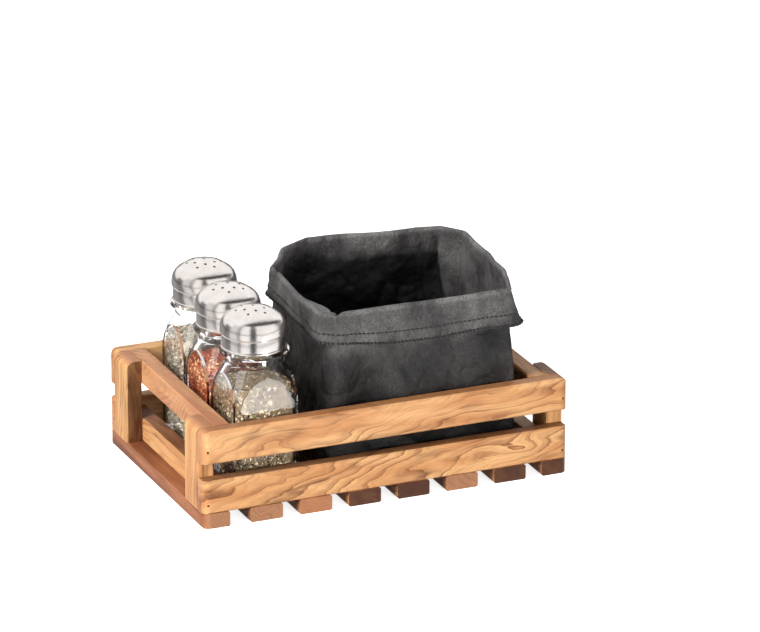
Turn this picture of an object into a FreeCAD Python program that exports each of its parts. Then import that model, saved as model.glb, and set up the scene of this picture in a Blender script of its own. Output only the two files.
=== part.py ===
"""Slatted wooden table caddy with three square glass shakers and a paper bag.

The crate is butt-jointed from flat stock: eight floor slats run from front to back, two
long slats stand on their ends at the front and two at the back, four corner posts stand
inside the long slats, and two rails close each end on the inner faces of the posts.
Frame: millimetres, +Z up, X along the long slats, Y from front to back, origin on the
table under the middle of the crate.
"""
import FreeCAD, Part
import math
import os
from FreeCAD import Vector

# Crate
CRATE_LENGTH = 250.0
CRATE_WIDTH = 165.0
CRATE_HEIGHT = 65.0
CORNER_ROUND = 5.5          # outer vertical corners of the whole crate
TOP_ROUND = 6.0             # the upper outer corners, seen from the front
LOWER_TOP_ROUND = 2.0       # the same corners of the lower long slats
SANDED_EDGE = 0.9           # rounding of the edges along each piece

FLOOR_THICKNESS = 10.0
FLOOR_SLAT_WIDTH = 22.0
FLOOR_SLAT_PITCH = 33.4
FLOOR_END_WIDTH = 18.0      # the two outermost floor slats are trimmed
FLOOR_MIDDLE_COUNT = 6
FLOOR_MIDDLE_SHIFT = 1.2    # the inner six sit a little to the right

LONG_SLAT_THICKNESS = 9.3
LONG_SLAT_HEIGHT = 22.0

POST_THICKNESS = 10.8       # along X
POST_WIDTH = 22.4           # along Y

RAIL_THICKNESS = 11.3
RAIL_HEIGHT = 16.2
LOWER_RAIL_HEIGHT = 15.6

BRAD_WIDTH = 1.4            # gun brads are cut from flat wire, so they are nearly square
BRAD_DEPTH = 20.0           # how far their points are below the surface
BRAD_SET = 1.2              # how far their heads are punched below it
BRAD_END_DISTANCE = 3.6     # from the end of a long slat
BRAD_RISE_UPPER = 8.0       # above the lower edge of an upper long slat
BRAD_RISE_LOWER = 5.5
RAIL_BRAD_RISE = 9.0

RUNNING_GAP = 0.3           # between the crate and what lifts out of it

# Shakers. Their round forms are cut in flats, to keep the three of them light.
TURN_SIDES = 36
CORNER_FLATS = 4
SHOULDER_STEPS = 4
BLEND_STEPS = 2
INNER_SHOULDER_STEPS = 3
DOME_SIDE_STEPS = 4
DOME_CROWN_STEPS = 3
INNER_SIDE_STEPS = 2
INNER_CROWN_STEPS = 1
BOTTLE_WIDTH = 44.0
BOTTLE_CORNER = 4.0
CORNER_MARGIN = 0.5         # the shoulder starts just clear of the rounded corners
BOTTLE_FOOT_BEVEL = 2.0
GLASS_WALL = 2.6
GLASS_FLOOR = 6.0
SHOULDER_START = 50.0       # heights above the bottle's foot
SHOULDER_RADIUS = 62.0
NECK_RADIUS = 18.9
NECK_BLEND = 4.0
BEAD_RADIUS = 22.1
BEAD_BOTTOM = 91.2
BEAD_HEIGHT = 3.7
FINISH_RADIUS = 18.2
FINISH_TOP = 106.5
MOUTH_RADIUS = 15.6
FILL_TOP = 81.0
FILL_GAP = 0.15

LID_BOTTOM = BEAD_BOTTOM + BEAD_HEIGHT + RUNNING_GAP
LID_TOP = 122.0
LID_WALL = 0.75
LID_INNER_INSET = 1.0       # the dome is drawn a little thicker than its collar
COLLAR_RADIUS = 20.1
COLLAR_TOP = 103.3
HEM_HEIGHT = 0.9
HEM_STEP = 0.4
RIDGE_RADIUS = 20.5         # pressed ring between the collar and the dome
RIDGE_Z = 104.4
GROOVE_RADIUS = 19.9        # above and below the ring
DOME_RADIUS = 21.0
DOME_HEIGHT = 14.3
DOME_SIDE_RADIUS = 10.5     # the dome turns tightly at its side and gently over its top
DOME_LIP_Z = 105.5
SHAKE_HOLE_RADIUS = 0.95
SHAKE_HOLE_SIDES = 6
SHAKE_RING_RADII = (7.3, 10.9)
SHAKE_RING_COUNT = 6
LID_TURNS = {"front": 23.0, "middle": 43.0, "rear": 16.0}
LID_SLACK = {"front": (-0.7, 0.3)}      # this lid sits to one side on its thread

SHAKER_X = -77.3
FRONT_SHAKER_GAP = 0.4      # from the front long slats
SHAKER_PITCH = 44.5
REAR_SHAKER_X = -74.6
REAR_SHAKER_Y = 41.0

# Paper bag
BAG_FLOOR_Z = FLOOR_THICKNESS + RUNNING_GAP
BAG_RIM_Z = 126.5
BAG_WALL = 1.2
CUFF_HEIGHT = 23.5
CUFF_FLARE = 3.6            # how far the folded cuff stands off at its hem
CUFF_THICKNESS = 1.8        # and at the fold
CUFF_TIP_CORNER = 1          # the front right corner of the hem sticks out sideways
CUFF_TIP_REACH = 3.0
BAG_LEFT = -41.0
BAG_RIGHT = 91.0
BAG_FRONT = -71.5
BAG_BACK = 66.0
BAG_RIGHT_BULGE = 97.0

PARTS_FOLDER = "parts"


VIEWS = {
    "plan": lambda u, v, w: Vector(u, v, w),
    "end": lambda u, v, w: Vector(w, u, v),
    "front": lambda u, v, w: Vector(v, w, u),
}


def prism(view, u_ends, v_ends, w_ends, radii, flats=0):
    """Rectangle with rounded corners, drawn in one view and extruded through it.

    The plan is drawn in x and y, the end view in y and z and the front view in z and x. The
    radii go round from the corner where both coordinates are lowest, along u first. A corner
    is a true round, or that many flats; one flat is a bevel."""
    place = VIEWS[view]
    corners = [
        (u_ends[0], v_ends[0], 180.0), (u_ends[1], v_ends[0], 270.0),
        (u_ends[1], v_ends[1], 0.0), (u_ends[0], v_ends[1], 90.0),
    ]
    turns = []
    for (u, v, start), radius in zip(corners, radii):
        centre_u = u + radius if u == u_ends[0] else u - radius
        centre_v = v + radius if v == v_ends[0] else v - radius
        on_arc = []
        for step in range((flats or 2) + 1):
            angle = math.radians(start + 90.0 * step / (flats or 2))
            on_arc.append(place(
                centre_u + radius * math.cos(angle), centre_v + radius * math.sin(angle), w_ends[0]
            ))
        turns.append(on_arc)
    edges = []
    for index, on_arc in enumerate(turns):
        if radii[index] > 0 and flats:
            edges += [Part.makeLine(a, b) for a, b in zip(on_arc, on_arc[1:])]
        elif radii[index] > 0:
            edges.append(Part.Arc(*on_arc).toShape())
        edges.append(Part.makeLine(on_arc[-1], turns[(index + 1) % len(turns)][0]))
    return Part.Face(Part.Wire(edges)).extrude(place(0, 0, w_ends[1] - w_ends[0]))


def batten(x_ends, y_ends, z_ends, plan_radii=None, front_radii=None):
    """A piece of flat stock with its long edges sanded and, where asked, shaped corners."""
    spans = (x_ends[1] - x_ends[0], y_ends[1] - y_ends[0], z_ends[1] - z_ends[0])
    sanded = [SANDED_EDGE] * 4
    if spans[0] == max(spans):
        solid = prism("end", y_ends, z_ends, x_ends, sanded, 1)
    elif spans[1] == max(spans):
        solid = prism("front", z_ends, x_ends, y_ends, sanded, 1)
    else:
        solid = prism("plan", x_ends, y_ends, z_ends, sanded, 1)
    if plan_radii:
        solid = solid.common(prism("plan", x_ends, y_ends, z_ends, plan_radii))
    if front_radii:
        solid = solid.common(prism("front", z_ends, x_ends, y_ends, front_radii))
    return solid


def floor_slats():
    """Eight slats from front to back, the outer two trimmed and rounded at the corners."""
    half_length = CRATE_LENGTH / 2
    half_width = CRATE_WIDTH / 2
    y_ends = (-half_width, half_width)
    z_ends = (0.0, FLOOR_THICKNESS)
    trimmed = half_length - FLOOR_END_WIDTH
    slats = [batten((-half_length, -trimmed), y_ends, z_ends, [CORNER_ROUND, 0, 0, CORNER_ROUND])]
    for x_centre in floor_middle_centres():
        x_ends = (x_centre - FLOOR_SLAT_WIDTH / 2, x_centre + FLOOR_SLAT_WIDTH / 2)
        slats.append(batten(x_ends, y_ends, z_ends))
    slats.append(batten((trimmed, half_length), y_ends, z_ends, [0, CORNER_ROUND, CORNER_ROUND, 0]))
    return slats


def floor_middle_centres():
    first = FLOOR_MIDDLE_SHIFT - FLOOR_SLAT_PITCH * (FLOOR_MIDDLE_COUNT - 1) / 2
    return [first + FLOOR_SLAT_PITCH * index for index in range(FLOOR_MIDDLE_COUNT)]


def long_slats():
    """Two slats along the front and two along the back, on the outer faces of the posts."""
    x_ends = (-CRATE_LENGTH / 2, CRATE_LENGTH / 2)
    half_width = CRATE_WIDTH / 2
    inner = half_width - LONG_SLAT_THICKNESS
    levels = {
        "upper": ((CRATE_HEIGHT - LONG_SLAT_HEIGHT, CRATE_HEIGHT), TOP_ROUND),
        "lower": ((FLOOR_THICKNESS, FLOOR_THICKNESS + LONG_SLAT_HEIGHT), LOWER_TOP_ROUND),
    }
    slats = {}
    for level, (z_ends, top_round) in levels.items():
        ends = [0, top_round, top_round, 0]
        slats["slat_front_" + level] = batten(
            x_ends, (-half_width, -inner), z_ends, [CORNER_ROUND, CORNER_ROUND, 0, 0], ends
        )
        slats["slat_back_" + level] = batten(
            x_ends, (inner, half_width), z_ends, [0, 0, CORNER_ROUND, CORNER_ROUND], ends
        )
    return slats


def corner_posts():
    """Posts stand on the outer floor slats, inside the long slats, flush with their ends."""
    outer = CRATE_LENGTH / 2
    inner = outer - POST_THICKNESS
    front = CRATE_WIDTH / 2 - LONG_SLAT_THICKNESS
    z_ends = (FLOOR_THICKNESS, CRATE_HEIGHT)
    posts = {}
    depths = {"front": (-front, POST_WIDTH - front), "back": (front - POST_WIDTH, front)}
    for depth, y_ends in depths.items():
        posts["post_" + depth + "_left"] = batten(
            (-outer, -inner), y_ends, z_ends, None, [0, TOP_ROUND, 0, 0]
        )
        posts["post_" + depth + "_right"] = batten(
            (inner, outer), y_ends, z_ends, None, [0, 0, TOP_ROUND, 0]
        )
    return posts


def end_rails():
    """Rails close the ends from the inner faces of the posts, between the long slats."""
    outer = CRATE_LENGTH / 2 - POST_THICKNESS
    inner = outer - RAIL_THICKNESS
    half_length = CRATE_WIDTH / 2 - LONG_SLAT_THICKNESS
    heights = {
        "upper": (CRATE_HEIGHT - RAIL_HEIGHT, CRATE_HEIGHT),
        "lower": (FLOOR_THICKNESS, FLOOR_THICKNESS + LOWER_RAIL_HEIGHT),
    }
    rails = {}
    for side, x_ends in (("left", (-outer, -inner)), ("right", (inner, outer))):
        for level, z_ends in heights.items():
            rails["rail_" + side + "_" + level] = batten(
                x_ends, (-half_length, half_length), z_ends
            )
    return rails


def brad_lines():
    """Where each nail enters the wood and which way it goes: through the long slats and the
    rails into the posts, and up through the floor slats into the lower long slats."""
    half_length = CRATE_LENGTH / 2
    half_width = CRATE_WIDTH / 2
    upper_z = CRATE_HEIGHT - LONG_SLAT_HEIGHT + BRAD_RISE_UPPER
    lower_z = FLOOR_THICKNESS + BRAD_RISE_LOWER
    rail_face = half_length - POST_THICKNESS - RAIL_THICKNESS
    post_middle = half_width - LONG_SLAT_THICKNESS - POST_WIDTH / 2
    slat_middle = half_width - LONG_SLAT_THICKNESS / 2
    rail_heights = (CRATE_HEIGHT - RAIL_HEIGHT / 2, FLOOR_THICKNESS + RAIL_BRAD_RISE)
    outer_centre = half_length - FLOOR_END_WIDTH / 2
    lines = []
    for sign_y in (-1, 1):
        for sign_x in (-1, 1):
            x = sign_x * (half_length - BRAD_END_DISTANCE)
            for z in (upper_z, lower_z):
                lines.append((Vector(x, sign_y * half_width, z), Vector(0, -sign_y, 0)))
            for z in rail_heights:
                at = Vector(sign_x * rail_face, sign_y * post_middle, z)
                lines.append((at, Vector(sign_x, 0, 0)))
        for x in [-outer_centre] + floor_middle_centres() + [outer_centre]:
            lines.append((Vector(x, sign_y * slat_middle, 0), Vector(0, 0, 1)))
    return lines


def pins(depth_start, depth_end):
    """One square pin on every nail's line, between two depths below the surface."""
    half = BRAD_WIDTH / 2
    across = (-half, half)
    solids = []
    for at, inwards in brad_lines():
        depths = sorted((depth_start * sum(inwards), depth_end * sum(inwards)))
        view = "end" if inwards.x else "front" if inwards.y else "plan"
        pin = prism(view, across, across, depths, [0] * 4)
        solids.append(pin.translated(at))
    return Part.Compound(solids)


def arc_points(centre_r, centre_z, radius, start, end, steps):
    """Points on an arc of a half profile, between two angles measured up from outwards."""
    points = []
    for step in range(steps + 1):
        angle = start + (end - start) * step / steps
        points.append((centre_r + radius * math.cos(angle), centre_z + radius * math.sin(angle)))
    return points


def flat_round(radius, z, count=TURN_SIDES):
    """Corners of the regular polygon that stands for a circle about the vertical axis."""
    corners = []
    for index in range(count):
        angle = 2 * math.pi * index / count
        corners.append(Vector(radius * math.cos(angle), radius * math.sin(angle), z))
    return corners


def polygon(vectors):
    return Part.makePolygon(vectors + vectors[:1])


def solid_of(faces):
    shell = Part.makeShell(faces)
    shell.sewShape()
    solid = Part.makeSolid(shell)
    if solid.Volume < 0:
        solid.reverse()
    return solid


def turned(profile):
    """Solid turned about the vertical axis in flats, from a half profile that starts and ends
    on the axis."""
    faces = []
    for (r, z), (next_r, next_z) in zip(profile, profile[1:]):
        here = flat_round(r, z)
        there = flat_round(next_r, next_z)
        if z == next_z and min(r, next_r) == 0:
            faces.append(Part.Face(polygon(there if next_r > 0 else here[::-1])))
            continue
        for index in range(TURN_SIDES):
            loop = [there[index - 1], there[index]] if next_r > 0 else [there[0]]
            loop += [here[index], here[index - 1]] if r > 0 else [here[0]]
            faces.append(Part.Face(polygon(loop)))
    return solid_of(faces).removeSplitter()


def bottle_body(inset, foot, bevel, shoulder, top):
    """Square prism cut by a turned shoulder, so that each side is an arched flat panel.

    The shoulder is the part of the half profile that narrows to the neck, from below."""
    half = BOTTLE_WIDTH / 2 - inset
    corner = BOTTLE_CORNER - inset / 2
    ends = (-half, half)
    square = prism("plan", ends, ends, (foot, top), [corner] * 4, CORNER_FLATS)
    if bevel > 0:
        rim = [edge for edge in square.Edges if edge.BoundBox.ZMax < foot + 1e-6]
        square = square.makeChamfer(bevel, rim)
    widest = shoulder[0][0]
    neck = shoulder[-1][0]
    round_form = turned([(0, foot), (widest, foot)] + shoulder + [(neck, top), (0, top)])
    return square.common(round_form)


def shoulder_arc(inset):
    """Centre and radius of the shoulder's profile, which starts at the prism's corners."""
    reach = math.sqrt(2) * (BOTTLE_WIDTH / 2 - BOTTLE_CORNER) + BOTTLE_CORNER + CORNER_MARGIN
    return reach - SHOULDER_RADIUS, SHOULDER_RADIUS - inset


def bottle_cavity(inset, foot, top, neck_radius):
    """Space inside the glass, which follows the outside this far in."""
    centre, radius = shoulder_arc(inset)
    lean = math.acos((neck_radius - centre) / radius)
    shoulder = arc_points(centre, SHOULDER_START, radius, 0, lean, INNER_SHOULDER_STEPS)
    return bottle_body(inset, foot, 0, shoulder, top)


def bottle():
    """Hollow glass bottle with a bead under its finish, standing on z = 0."""
    centre, radius = shoulder_arc(0)
    blend_centre = NECK_RADIUS + NECK_BLEND
    lean = math.acos((blend_centre - centre) / (radius + NECK_BLEND))
    blend_z = SHOULDER_START + (radius + NECK_BLEND) * math.sin(lean)
    shoulder = arc_points(centre, SHOULDER_START, radius, 0, lean, SHOULDER_STEPS)
    shoulder += arc_points(
        blend_centre, blend_z, NECK_BLEND, math.pi + lean, math.pi, BLEND_STEPS
    )[1:]
    outside = bottle_body(0, 0, BOTTLE_FOOT_BEVEL, shoulder, BEAD_BOTTOM + 1)
    bead_top = BEAD_BOTTOM + BEAD_HEIGHT
    eased = BEAD_HEIGHT / 3
    finish = turned([
        (0, BEAD_BOTTOM), (BEAD_RADIUS - eased, BEAD_BOTTOM), (BEAD_RADIUS, BEAD_BOTTOM + eased),
        (BEAD_RADIUS, bead_top - eased), (BEAD_RADIUS - eased, bead_top),
        (FINISH_RADIUS, bead_top), (FINISH_RADIUS, FINISH_TOP), (0, FINISH_TOP),
    ])
    inside = bottle_cavity(GLASS_WALL, GLASS_FLOOR, FINISH_TOP + 1, MOUTH_RADIUS)
    return outside.fuse(finish).removeSplitter().cut(inside)


def spice_fill():
    """What the bottle holds, a little clear of the glass and level on top."""
    inset = GLASS_WALL + FILL_GAP
    block = bottle_cavity(inset, GLASS_FLOOR + FILL_GAP, FINISH_TOP, MOUTH_RADIUS)
    wide = (-BOTTLE_WIDTH, BOTTLE_WIDTH)
    return block.common(prism("plan", wide, wide, (0, FILL_TOP), [0] * 4))


def shake_holes(hole_turn):
    """Drills for a centre hole and two rings of six, cut in flats as the lid is."""
    places = [Vector(0, 0, 0)]
    for ring, radius in enumerate(SHAKE_RING_RADII):
        for index in range(SHAKE_RING_COUNT):
            angle = math.radians(hole_turn + 360.0 / SHAKE_RING_COUNT * (index + ring / 2))
            places.append(Vector(radius * math.cos(angle), radius * math.sin(angle), 0))
    outline = polygon(flat_round(SHAKE_HOLE_RADIUS, LID_TOP - DOME_HEIGHT, SHAKE_HOLE_SIDES))
    drill = Part.Face(outline).extrude(Vector(0, 0, 2 * DOME_HEIGHT))
    return [drill.translated(place) for place in places]


def dome_points(inset, side_steps, crown_steps):
    """Half profile of the dome from its foot to the axis, this far inside its surface."""
    dome_foot = LID_TOP - DOME_HEIGHT
    side_centre = DOME_RADIUS - DOME_SIDE_RADIUS
    rise = DOME_HEIGHT - DOME_SIDE_RADIUS
    drop = (side_centre ** 2 - rise ** 2) / (2 * rise)
    lean = math.atan2(drop, side_centre)
    side = arc_points(side_centre, dome_foot, DOME_SIDE_RADIUS - inset, 0, lean, side_steps)
    crown = arc_points(
        0, dome_foot - drop, DOME_HEIGHT + drop - inset, lean, math.pi / 2, crown_steps
    )
    return side + crown[1:-1] + [(0, LID_TOP - inset)]


def lid(hole_turn):
    """Pressed steel dome over a collar, pierced by a centre hole and two rings of six."""
    hem_radius = COLLAR_RADIUS + HEM_STEP
    bore = COLLAR_RADIUS - LID_WALL
    wall = [
        (DOME_RADIUS, DOME_LIP_Z), (GROOVE_RADIUS, DOME_LIP_Z - 0.4), (RIDGE_RADIUS, RIDGE_Z),
        (GROOVE_RADIUS, COLLAR_TOP + 0.4), (COLLAR_RADIUS, COLLAR_TOP),
        (COLLAR_RADIUS, LID_BOTTOM + HEM_HEIGHT + HEM_STEP), (hem_radius, LID_BOTTOM + HEM_HEIGHT),
        (hem_radius, LID_BOTTOM), (bore, LID_BOTTOM),
    ]
    outside = dome_points(0, DOME_SIDE_STEPS, DOME_CROWN_STEPS)[::-1]
    inside = [(bore, DOME_LIP_Z)]
    inside += dome_points(LID_INNER_INSET, INNER_SIDE_STEPS, INNER_CROWN_STEPS)[1:]
    return turned(outside + wall + inside).cut(shake_holes(hole_turn))


def polygon_wire(points, z):
    return polygon([Vector(x, y, z) for x, y in points])


def spread(points, distance):
    """Move every side of a convex polygon outwards by the same distance."""
    moved = []
    count = len(points)
    for index in range(count):
        before = Vector(*points[index - 1], 0)
        here = Vector(*points[index], 0)
        after = Vector(*points[(index + 1) % count], 0)
        arriving = (here - before).normalize()
        leaving = (after - here).normalize()
        normal_in = Vector(arriving.y, -arriving.x, 0)
        normal_out = Vector(leaving.y, -leaving.x, 0)
        bisector = (normal_in + normal_out).normalize()
        shift = distance / bisector.dot(normal_in)
        moved.append((here.x + bisector.x * shift, here.y + bisector.y * shift))
    return moved


def bag_foot():
    """Outline of the bag on the crate's floor, anticlockwise from its front left corner."""
    return [
        (BAG_LEFT + 5, BAG_FRONT), (BAG_RIGHT + 3, BAG_FRONT), (BAG_RIGHT + 7, BAG_FRONT + 9.5),
        (BAG_RIGHT_BULGE, BAG_BACK - 22), (BAG_RIGHT_BULGE - 8, BAG_BACK - 4),
        (BAG_LEFT + 48, BAG_BACK), (BAG_LEFT + 22, BAG_BACK - 12),
        (BAG_LEFT + 4, BAG_BACK - 40), (BAG_LEFT, BAG_FRONT + 6),
    ]


def bag_rim():
    """The same nine corners at the rim, where the bag is pulled out of square."""
    return [
        (BAG_LEFT + 11, BAG_FRONT + 2), (BAG_RIGHT - 2, BAG_FRONT + 1),
        (BAG_RIGHT + 10, BAG_FRONT + 36), (BAG_RIGHT + 15, BAG_BACK - 26),
        (BAG_RIGHT + 5, BAG_BACK - 11), (BAG_LEFT + 48, BAG_BACK + 2),
        (BAG_LEFT + 26, BAG_BACK - 9), (BAG_LEFT + 7, BAG_BACK - 40),
        (BAG_LEFT + 4, BAG_FRONT + 8),
    ]


def creased(points_low, z_low, points_high, z_high):
    """Solid between two level outlines whose sides are creased into flat triangles."""
    low = [Vector(x, y, z_low) for x, y in points_low]
    high = [Vector(x, y, z_high) for x, y in points_high]
    faces = [Part.Face(polygon(low[::-1])), Part.Face(polygon(high))]
    for index in range(len(low)):
        faces.append(Part.Face(polygon([low[index - 1], low[index], high[index]])))
        faces.append(Part.Face(polygon([low[index - 1], high[index], high[index - 1]])))
    return solid_of(faces)


def bag_outline_at(z):
    """Corners of the bag's outer surface at a height between its floor and its rim."""
    share = (z - BAG_FLOOR_Z) / (BAG_RIM_Z - BAG_FLOOR_Z)
    mixed = []
    for (x_low, y_low), (x_high, y_high) in zip(bag_foot(), bag_rim()):
        mixed.append((x_low + (x_high - x_low) * share, y_low + (y_high - y_low) * share))
    return mixed


def bag():
    """Open-topped bag and the cuff folded down over its rim, of flat creased panels."""
    outside = creased(bag_foot(), BAG_FLOOR_Z, bag_rim(), BAG_RIM_Z)
    inner_low = BAG_FLOOR_Z + BAG_WALL
    beyond = BAG_RIM_Z + 5
    hollow = creased(
        spread(bag_outline_at(inner_low), -BAG_WALL), inner_low,
        spread(bag_outline_at(beyond), -BAG_WALL), beyond,
    )
    hem_z = BAG_RIM_Z - CUFF_HEIGHT
    fold_z = BAG_RIM_Z + BAG_WALL
    hem = spread(bag_outline_at(hem_z), CUFF_FLARE)
    right_x, right_y = hem[CUFF_TIP_CORNER]
    hem[CUFF_TIP_CORNER] = (right_x + CUFF_TIP_REACH, right_y)
    wrap = creased(
        hem, hem_z,
        spread(bag_outline_at(fold_z), CUFF_THICKNESS), fold_z,
    )
    return outside.cut(hollow), wrap.cut([outside, hollow])


def write_part(name, shape):
    if not shape.isValid():
        raise ValueError(name + " is not a valid shape")
    shape.exportStep(os.path.join(PARTS_FOLDER, name + ".step"))


def main():
    os.makedirs("parts", exist_ok=True)
    nails = pins(BRAD_SET, BRAD_DEPTH)
    nail_holes = pins(-BRAD_SET, BRAD_DEPTH)
    wood = {}
    for number, slat in enumerate(floor_slats(), start=1):
        wood["floor_slat_" + str(number)] = slat
    wood.update(long_slats())
    wood.update(corner_posts())
    wood.update(end_rails())
    for name, shape in wood.items():
        write_part(name, shape.cut(nail_holes))
    write_part("crate_brads", nails)

    front_y = FRONT_SHAKER_GAP + BOTTLE_WIDTH / 2 - CRATE_WIDTH / 2 + LONG_SLAT_THICKNESS
    foot_z = FLOOR_THICKNESS + RUNNING_GAP
    glass = bottle()
    fill = spice_fill()
    places = {
        "front": (SHAKER_X, front_y),
        "middle": (SHAKER_X, front_y + SHAKER_PITCH),
        "rear": (REAR_SHAKER_X, REAR_SHAKER_Y),
    }
    for place, (x, y) in places.items():
        at = Vector(x, y, foot_z)
        lid_at = at + Vector(*LID_SLACK.get(place, (0, 0)), 0)
        write_part("bottle_" + place, glass.translated(at))
        write_part("fill_" + place, fill.translated(at))
        write_part("lid_" + place, lid(LID_TURNS[place]).translated(lid_at))

    bag_body, bag_cuff = bag()
    write_part("bag_body", bag_body)
    write_part("bag_cuff", bag_cuff)


main()
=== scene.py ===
"""Looks for the slatted condiment caddy: olive wood, glass, steel and a paper bag."""

import math
import random

import bmesh
import bpy
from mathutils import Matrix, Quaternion, Vector, geometry, noise


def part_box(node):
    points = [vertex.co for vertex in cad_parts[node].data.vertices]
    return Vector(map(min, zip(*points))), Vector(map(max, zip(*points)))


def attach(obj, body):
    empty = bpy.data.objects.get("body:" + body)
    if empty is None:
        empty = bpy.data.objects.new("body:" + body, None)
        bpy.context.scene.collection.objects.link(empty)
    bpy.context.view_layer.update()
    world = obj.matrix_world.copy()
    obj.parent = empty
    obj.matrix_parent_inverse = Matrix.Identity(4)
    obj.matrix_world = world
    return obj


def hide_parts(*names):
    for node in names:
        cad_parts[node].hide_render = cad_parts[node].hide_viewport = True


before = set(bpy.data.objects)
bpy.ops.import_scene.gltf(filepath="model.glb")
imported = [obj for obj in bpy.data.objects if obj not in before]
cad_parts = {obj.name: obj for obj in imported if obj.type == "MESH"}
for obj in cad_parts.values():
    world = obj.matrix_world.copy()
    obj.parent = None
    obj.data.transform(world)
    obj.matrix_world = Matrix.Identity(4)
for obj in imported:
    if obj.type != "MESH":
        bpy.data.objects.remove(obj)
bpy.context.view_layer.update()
MM = 0.001

# ------------------------------------------------ camera
CAMERA_AZIMUTH = math.radians(23.088)      # the camera stands to the left of the front
CAMERA_ELEVATION = math.radians(20.296)
CAMERA_DISTANCE = 4.0
CAMERA_AIM = Vector((0.0334, 0.0082, 0.0888))
SENSOR_WIDTH = 36.0
PICTURE_WIDTH = 760
FOCAL_PIXELS = 6236.0


def make_camera():
    data = bpy.data.cameras.new("camera")
    data.sensor_width = SENSOR_WIDTH
    data.lens = FOCAL_PIXELS * SENSOR_WIDTH / PICTURE_WIDTH
    data.clip_start = 0.1
    data.clip_end = 20.0
    camera = bpy.data.objects.new("camera", data)
    bpy.context.scene.collection.objects.link(camera)
    flat = math.cos(CAMERA_ELEVATION)
    back = Vector((
        -math.sin(CAMERA_AZIMUTH) * flat,
        -math.cos(CAMERA_AZIMUTH) * flat,
        math.sin(CAMERA_ELEVATION),
    ))
    camera.location = CAMERA_AIM + back * CAMERA_DISTANCE
    camera.rotation_euler = back.to_track_quat("Z", "Y").to_euler()
    bpy.context.scene.camera = camera


# ------------------------------------------------ shader building
class Shader:
    """A node material or node group under construction."""

    def __init__(self, tree):
        self.tree = tree

    def node(self, kind, inputs=None, **settings):
        made = self.tree.nodes.new(kind)
        for key, value in settings.items():
            setattr(made, key, value)
        for key, value in (inputs or {}).items():
            self.feed(made.inputs[key], value)
        return made

    def feed(self, socket, value):
        if isinstance(value, bpy.types.NodeSocket):
            self.tree.links.new(value, socket)
        else:
            socket.default_value = value

    def math(self, operation, first, second=0.0, third=None, clamp=False):
        values = {0: first, 1: second}
        if third is not None:
            values[2] = third
        made = self.node("ShaderNodeMath", values, operation=operation, use_clamp=clamp)
        return made.outputs[0]

    def vector(self, operation, first, second):
        made = self.node("ShaderNodeVectorMath", {0: first}, operation=operation)
        if operation == "SCALE":
            self.feed(made.inputs["Scale"], second)
        else:
            self.feed(made.inputs[1], second)
        return made.outputs[0]

    def length(self, vector):
        made = self.node("ShaderNodeVectorMath", {0: vector}, operation="LENGTH")
        return made.outputs["Value"]

    def split(self, vector):
        return self.node("ShaderNodeSeparateXYZ", {0: vector}).outputs

    def noise(self, vector, scale, detail=2.0, rough=0.5):
        return self.node("ShaderNodeTexNoise", {
            "Vector": vector, "Scale": scale, "Detail": detail, "Roughness": rough,
        }).outputs

    def ramp(self, factor, stops):
        made = self.node("ShaderNodeValToRGB", {"Fac": factor})
        band = made.color_ramp
        while len(band.elements) < len(stops):
            band.elements.new(0.5)
        for element, (position, colour) in zip(band.elements, stops):
            element.position = position
            plain = isinstance(colour, (int, float))
            element.color = grey(colour) if plain else (*colour, 1.0)
        return made.outputs["Color"]

    def mix(self, factor, first, second, blend="MIX"):
        made = self.node("ShaderNodeMix", data_type="RGBA", blend_type=blend)
        self.feed(made.inputs["Factor"], factor)
        for index, value in ((6, first), (7, second)):
            if isinstance(value, (tuple, list)) and len(value) == 3:
                value = (*value, 1.0)
            self.feed(made.inputs[index], value)
        return made.outputs[2]

    def bump(self, height, strength, distance):
        return self.node("ShaderNodeBump", {
            "Height": height, "Strength": strength, "Distance": distance,
        }).outputs["Normal"]

    def object_coordinates(self):
        return self.node("ShaderNodeTexCoord").outputs["Object"]


def grey(value):
    return (value, value, value, 1.0)


def srgb(red, green, blue):
    """An 8-bit screen colour as linear values."""
    linear = []
    for part in (red, green, blue):
        part /= 255.0
        linear.append(part / 12.92 if part <= 0.04045 else ((part + 0.055) / 1.055) ** 2.4)
    return tuple(linear)


def new_material(name, plain):
    """A material with the values that are the same all over it set on its own sockets."""
    material = bpy.data.materials.new(name)
    material.use_nodes = True
    surface = material.node_tree.nodes["Principled BSDF"]
    for key, value in plain.items():
        surface.inputs[key].default_value = value
    return material, Shader(material.node_tree), surface


def paint(node_name, material):
    """Give a carried-over CAD node a better material."""
    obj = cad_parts[node_name]
    if not obj.material_slots:
        obj.data.materials.append(material)
    for material_slot in obj.material_slots:
        material_slot.material = material


# ------------------------------------------------ olive wood
HALF = (0.5, 0.5, 0.5)
TURN = 6.283                # radians in a wave of heartwood


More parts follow.
